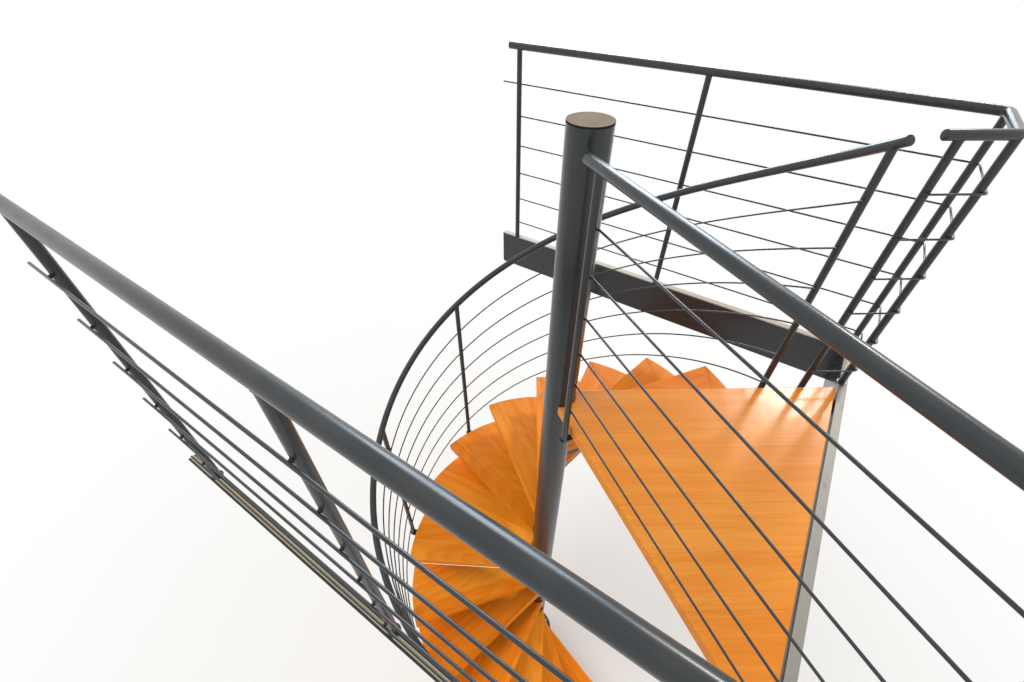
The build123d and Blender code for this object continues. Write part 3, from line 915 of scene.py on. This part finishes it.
class STAIR_OT_handrails(bpy.types.Operator):
    """Lay the three handrails with their rounded ends"""

    bl_idname = "stair.handrails"
    bl_label = "Handrails"

    def execute(self, context):
        radius = context.scene.stair_sizes.handrail / 2
        colour = context.scene.stair_colours.paint
        paint = steel_paint("anthracite_handrail", colour, HANDRAIL_PEEL, edges=False)
        last_angle = SPIRAL_START_POST_ANGLE + SPIRAL_HANDRAIL_PAST_START
        paths = {
            "north": rounded_path(NORTH_CORNERS, HANDRAIL_Z, HANDRAIL_BEND),
            "south": rounded_path(SOUTH_CORNERS, HANDRAIL_Z, HANDRAIL_BEND),
            "spiral": helix_path(SPIRAL_RADIUS, SPIRAL_HANDRAIL_TOP_ANGLE, last_angle, spiral_handrail_z),
        }
        for guard, path in paths.items():
            shape = Shape()
            shape.bar(path, radius, HANDRAIL_SIDES, HANDRAIL_END_ROUND)
            piece = shape.piece(f"{guard}_handrail_tube", paint, "tube_steel")
            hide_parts(f"{guard}_handrail")
        return {"FINISHED"}


class STAIR_OT_rods(bpy.types.Operator):
    """Run the six rods of each guard along its posts"""

    bl_idname = "stair.rods"
    bl_label = "Rods"

    def execute(self, context):
        radius = context.scene.stair_sizes.rod / 2
        paint = steel_paint("anthracite_rod", context.scene.stair_colours.paint, ROD_PEEL, edges=False)
        north = [Vector((NORTH_POSTS[0], NORTH_LINE, 0)), *NORTH_CORNERS[1:-1], RETURN_POST]
        south = [Vector((SOUTH_POSTS[0], SOUTH_LINE, 0)), *SOUTH_CORNERS[1:-1], COLUMN_POST]
        self.level_guard("north", north, ROD_FROM_POST, ROD_PAST_POST, ROD_PAST_POST, radius, paint)
        self.level_guard(
            "south", south, -ROD_FROM_POST, SOUTH_ROD_PAST_POST, LANDING_TOP_ROD_PAST_POST, radius, paint
        )
        past = math.degrees(ROD_PAST_POST / SPIRAL_RADIUS)
        first_angle = SPIRAL_END_POST_ANGLE - past
        last_angle = SPIRAL_START_POST_ANGLE + past
        shape = Shape()
        for row in range(ROWS):
            drop = SPIRAL_TOP_ROD_DROP + SPIRAL_ROD_PITCH * row
            path = helix_path(
                SPIRAL_RADIUS - ROD_FROM_POST, first_angle, last_angle,
                lambda angle: spiral_handrail_z(angle) - drop,
            )
            shape.bar(path, radius, ROD_SIDES, ROD_END_ROUND)
        piece = shape.piece("spiral_rods_bent", paint, "tube_steel")
        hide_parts("spiral_rods")
        return {"FINISHED"}

    def level_guard(self, guard, line, sideways, past_first, top_past_last, radius, paint):
        """Six level rods beside the line of one guard's posts, the top one longer than the others."""
        shape = Shape()
        ahead = (line[-1] - line[-2]).normalized()
        for row in range(ROWS):
            top = row == ROWS - 1
            start = line[0] - Vector((TOP_ROD_PAST_POST if top else past_first, 0, 0))
            end = line[-1] + ahead * (top_past_last if top else ROD_PAST_POST)
            corners = offset_corners([start, *line[1:-1], end], sideways)
            path = rounded_path(corners, FLOOR + LOWEST_ROD + ROD_PITCH * row, ROD_FROM_POST)
            shape.bar(path, radius, ROD_SIDES, ROD_END_ROUND)
        piece = shape.piece(f"{guard}_rods_bent", paint, "tube_steel")
        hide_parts(f"{guard}_rods")


class STAIR_OT_guard_welds(bpy.types.Operator):
    """Weld the posts to the handrails, the studs to the posts and rods, and the feet"""

    bl_idname = "stair.guard_welds"
    bl_label = "Guard welds"

    def execute(self, context):
        bead = context.scene.stair_sizes.weld / 2
        seam_radius = POST_RADIUS + bead * SEAM_OFF_POST
        foot_radius = POST_RADIUS + bead * FOOT_OFF_POST
        paint = weld_metal("painted_weld", context.scene.stair_colours.paint)
        low = HANDRAIL_Z - SEAM_SEARCH
        top = HANDRAIL_Z - SEAM_FALLBACK_DROP
        for guard, places in straight_posts().items():
            shape = Shape()
            tree = self.tree_of(f"{guard}_handrail_tube")
            for number, (place, facing) in enumerate(places):
                shape.bead(seam_ring(place, seam_radius, tree, low, top), bead, number, True)
                if number < len(places) - 1:
                    shape.bead(foot_ring(place, foot_radius, FLOOR), bead, number + 50, True)
                for row in range(ROWS):
                    root = place + Vector((0, 0, FLOOR + LOWEST_ROD + ROD_PITCH * row))
                    self.stud(shape, root, polar(1.0, facing), number * ROWS + row)
            shape.piece(f"{guard}_guard_welds", paint, "tube_steel")
        shape = Shape()
        tree = self.tree_of("spiral_handrail_tube")
        for number, (angle, foot_z) in enumerate(spiral_posts()):
            place = polar(SPIRAL_RADIUS, angle)
            rail_z = spiral_handrail_z(angle)
            ring = seam_ring(place, seam_radius, tree, rail_z - SEAM_SEARCH, rail_z)
            shape.bead(ring, bead, number, True)
            for row in range(ROWS):
                z = rail_z - SPIRAL_TOP_ROD_DROP - SPIRAL_ROD_PITCH * row
                if z > foot_z + LOWEST_STUD:
                    root = place + Vector((0, 0, z))
                    self.stud(shape, root, -polar(1.0, angle), number * ROWS + row)
        shape.bead(foot_ring(place, foot_radius, 0.0), bead, 77, True)
        shape.piece("spiral_guard_welds", paint, "tube_steel")
        return {"FINISHED"}

    def tree_of(self, name):
        """Surface of a piece for finding where a post meets it."""
        mesh = bpy.data.objects[name].data
        return BVHTree.FromPolygons([v.co for v in mesh.vertices], [p.vertices for p in mesh.polygons])

    def stud(self, shape, root, direction, seed):
        """Fillet weld round a stud at its post and a bead where it meets the rod."""
        for reach, radius, bead in STUD_BEADS:
            ring = ring_round(root + direction * reach, direction, radius, STUD_BEAD_POINTS)
            shape.bead(ring, bead, seed, True, sides=6)


class STAIR_OT_column_welds(bpy.types.Operator):
    """Weld the base plate and the brackets to the column"""

    bl_idname = "stair.column_welds"
    bl_label = "Column welds"

    def execute(self, context):
        paint = weld_metal("painted_column_weld", context.scene.stair_colours.paint)
        shape = Shape()
        foot = [
            polar(COLUMN_RADIUS + BASE_BEAD_OUT, 360 * at / BASE_BEAD_POINTS, BASE_TOP + BASE_BEAD_UP)
            for at in range(BASE_BEAD_POINTS)
        ]
        shape.bead(foot, BASE_BEAD, 5, True)
        front = math.degrees(math.asin(BRACKET_FRONT_OFFSET / COLUMN_RADIUS)) + BRACKET_BEAD_BESIDE
        back = math.degrees(math.asin(BRACKET_BACK_OFFSET / COLUMN_RADIUS)) - BRACKET_BEAD_BESIDE
        depth = BRACKET_PLATE + RIB_ROOT_DEPTH
        for tread in range(1, TREADS + 1):
            top = tread_underside(tread) - BRACKET_BEAD_DOWN
            sides = (nosing_direction(tread) + front, nosing_direction(tread - 1) + back)
            for side, angle in enumerate(sides):
                seam = [
                    polar(COLUMN_RADIUS + BRACKET_BEAD_OUT, angle, top - depth * step / BRACKET_BEAD_STEPS)
                    for step in range(BRACKET_BEAD_STEPS + 1)
                ]
                shape.bead(seam, BRACKET_BEAD, tread * 2 + side, False)
        shape.piece("column_weld_seams", paint, "steel")
        return {"FINISHED"}


class STAIR_OT_screws(bpy.types.Operator):
    """Screw the treads to their brackets and lugs from below"""

    bl_idname = "stair.screws"
    bl_label = "Tread screws"

    def execute(self, context):
        material = zinc("zinc_screw", context.scene.stair_colours.zinc)
        shape = Shape()
        front_line = BRACKET_FRONT_OFFSET - SCREW_FROM_EDGE
        back_line = BRACKET_BACK_OFFSET + SCREW_FROM_EDGE
        places = []
        for tread in range(1, TREADS + 1):
            under = tread_underside(tread) - BRACKET_PLATE
            front = nosing_direction(tread)
            back = nosing_direction(tread - 1)
            places += [line_point(front, front_line, reach, under) for reach in FRONT_SCREWS]
            places += [line_point(back, back_line, reach, under) for reach in BACK_SCREWS]
        for tread, before_nosing in TREAD_POSTS:
            angle = nosing_angle(tread) - before_nosing
            under = tread_underside(tread) - LUG_THICKNESS
            places += [polar(radius, angle, under) for radius in LUG_SCREWS]
        for place in places:
            shape.turned(place, -UP, SCREW_WASHER, SCREW_SIDES)
            shape.turned(place, -UP, SCREW_HEAD, SCREW_SIDES, SCREW_FLATS)
        shape.piece("tread_screws", material, "steel")
        return {"FINISHED"}


class STAIR_OT_anchors(bpy.types.Operator):
    """Bolt the base plate down"""

    bl_idname = "stair.anchors"
    bl_label = "Floor anchors"

    def execute(self, context):
        material = zinc("zinc_anchor", context.scene.stair_colours.zinc)
        shape = Shape()
        thread = [THREAD_ENDS[0]]
        for turn in range(THREAD_TURNS):
            reach = THREAD_START + THREAD_PITCH * turn
            thread += [(reach, THREAD_ROOT), (reach + THREAD_PITCH / 2, THREAD_CREST)]
        thread.append(THREAD_ENDS[1])
        for anchor in range(ANCHORS):
            place = polar(ANCHOR_CIRCLE, 360 * anchor / ANCHORS, BASE_TOP)
            shape.turned(place, UP, ANCHOR_WASHER, 32)
            shape.turned(place, UP, ANCHOR_NUT, 36, ANCHOR_FLATS)
            shape.turned(place, UP, thread, 20)
        shape.piece("base_anchors", material, "steel")
        return {"FINISHED"}


class STAIR_OT_stage(bpy.types.Operator):
    """Set up the pale floor, the studio light and the camera"""

    bl_idname = "stair.stage"
    bl_label = "Stage"

    def execute(self, context):
        scene = context.scene
        settings = scene.stage_settings
        scene.view_settings.view_transform = "Standard"
        self.floor(scene, settings)
        self.world(scene, settings)
        # The low window is only seen in gloss, and the fill only lights matt surfaces
        self.lamp(scene, "low_window", LOW_WINDOW, settings.lamp).visible_diffuse = False
        self.lamp(scene, "side_window", SIDE_WINDOW, settings.lamp)
        self.lamp(scene, "fill", FILL, settings.lamp).visible_glossy = False
        self.camera(scene)
        return {"FINISHED"}

    def floor(self, scene, settings):
        """Large floor that keeps the stair's shadow and turns white for the camera further out."""
        finish = Finish("studio_floor", roughness=0.7)
        place = finish.place()
        mottle = finish.cloud(place, 1.5, 3.0)
        tone = finish.mix(mottle, linear(settings.floor, 0.985), linear(settings.floor))
        finish.lead("Base Color", tone)
        far = finish.step(finish.distance(place, IN_PLAN), *FLOOR_FADE)
        seen = Wire(finish, finish.add("ShaderNodeLightPath", {}, {}).outputs["Is Camera Ray"])
        white = finish.add("ShaderNodeEmission", {}, {"Color": WHITE, "Strength": 1.0})
        finish.blend(far * seen, finish.shader, white, "Material Output")
        mesh = bpy.data.meshes.new("floor")
        signs = ((-1, -1), (1, -1), (1, 1), (-1, 1))
        corners = [(x * FLOOR_HALF, y * FLOOR_HALF, -FLOOR_DROP) for x, y in signs]
        mesh.from_pydata(corners, [], [(0, 1, 2, 3)])
        mesh.materials.append(finish.material)
        ground = bpy.data.objects.new("floor", mesh)
        scene.collection.objects.link(ground)

    def world(self, scene, settings):
        """White for the camera and in reflections, softer as a light."""
        world = bpy.data.worlds.new("studio")
        world.use_nodes = True
        nodes = Nodes(world.node_tree)
        rays = nodes.add("ShaderNodeLightPath", {}, {})
        seen = rays.outputs["Is Camera Ray"]
        for name in ("Is Glossy Ray", "Is Transmission Ray"):
            seen = nodes.maths("MAXIMUM", seen, rays.outputs[name])
        light = world.node_tree.nodes["Background"]
        light.inputs["Color"].default_value = WHITE
        light.inputs["Strength"].default_value = settings.world
        white = nodes.add("ShaderNodeBackground", {}, {"Color": WHITE, "Strength": 1.0})
        nodes.blend(seen, light, white, "World Output")
        scene.world = world

    def lamp(self, scene, name, lamp, share):
        """Sunlight that falls from a place towards the foot of the column, as soft as its spread."""
        place, spread, strength, tint = lamp
        light = bpy.data.lights.new(name, "SUN")
        light.angle = math.radians(spread)
        light.energy = strength * share
        light.color = tint
        holder = bpy.data.objects.new(name, light)
        holder.location = place
        holder.rotation_euler = (-Vector(place)).to_track_quat("-Z", "Y").to_euler()
        scene.collection.objects.link(holder)
        return holder

    def camera(self, scene):
        """Camera above the near guard that looks down over the landing and the flight."""
        camera = bpy.data.cameras.new("camera")
        camera.lens = CAMERA_LENS
        camera.sensor_width = SENSOR
        camera.sensor_fit = "HORIZONTAL"
        camera.clip_start, camera.clip_end = CAMERA_CLIP
        turn = Matrix.Rotation(math.radians(CAMERA_TURN), 4, "Z")
        tilt = Matrix.Rotation(math.radians(CAMERA_TILT), 4, "X")
        roll = Matrix.Rotation(math.radians(CAMERA_ROLL), 4, "Z")
        seat = bpy.data.objects.new("camera", camera)
        seat.matrix_world = Matrix.Translation(CAMERA_PLACE) @ turn @ tilt @ roll
        scene.collection.objects.link(seat)
        scene.camera = seat


class STAIR_PT_pieces(bpy.types.Panel):
    """Pieces and settings of the staircase"""

    bl_idname = "STAIR_PT_pieces"
    bl_label = "Staircase"
    bl_space_type = "VIEW_3D"
    bl_region_type = "UI"
    bl_category = "Stair"

    def draw(self, context):
        layout = self.layout
        for operator in OPERATORS:
            layout.operator(operator.bl_idname)
        for settings, _ in SETTINGS:
            group = getattr(context.scene, settings)
            box = layout.box()
            for name in group.__annotations__:
                box.prop(group, name)


SETTINGS = (
    ("stair_sizes", StairSizes),
    ("stair_colours", StairColours),
    ("stage_settings", StageSettings),
)
OPERATORS = (
    STAIR_OT_stage,
    STAIR_OT_steelwork,
    STAIR_OT_treads,
    STAIR_OT_landing,
    STAIR_OT_handrails,
    STAIR_OT_rods,
    STAIR_OT_guard_welds,
    STAIR_OT_column_welds,
    STAIR_OT_screws,
    STAIR_OT_anchors,
)


def register():
    """Make the settings, the operators and the panel known."""
    for name, group in SETTINGS:
        bpy.utils.register_class(group)
        setattr(bpy.types.Scene, name, bpy.props.PointerProperty(type=group))
    for item in (*OPERATORS, STAIR_PT_pieces):
        bpy.utils.register_class(item)


def unregister():
    """Take them away again."""
    for item in reversed((*OPERATORS, STAIR_PT_pieces)):
        bpy.utils.unregister_class(item)
    for name, group in reversed(SETTINGS):
        delattr(bpy.types.Scene, name)
        bpy.utils.unregister_class(group)


def main():
    """Build everything in order."""
    register()
    for operator in OPERATORS:
        family, name = operator.bl_idname.split(".")
        getattr(getattr(bpy.ops, family), name)()


if __name__ == "__main__":
    main()
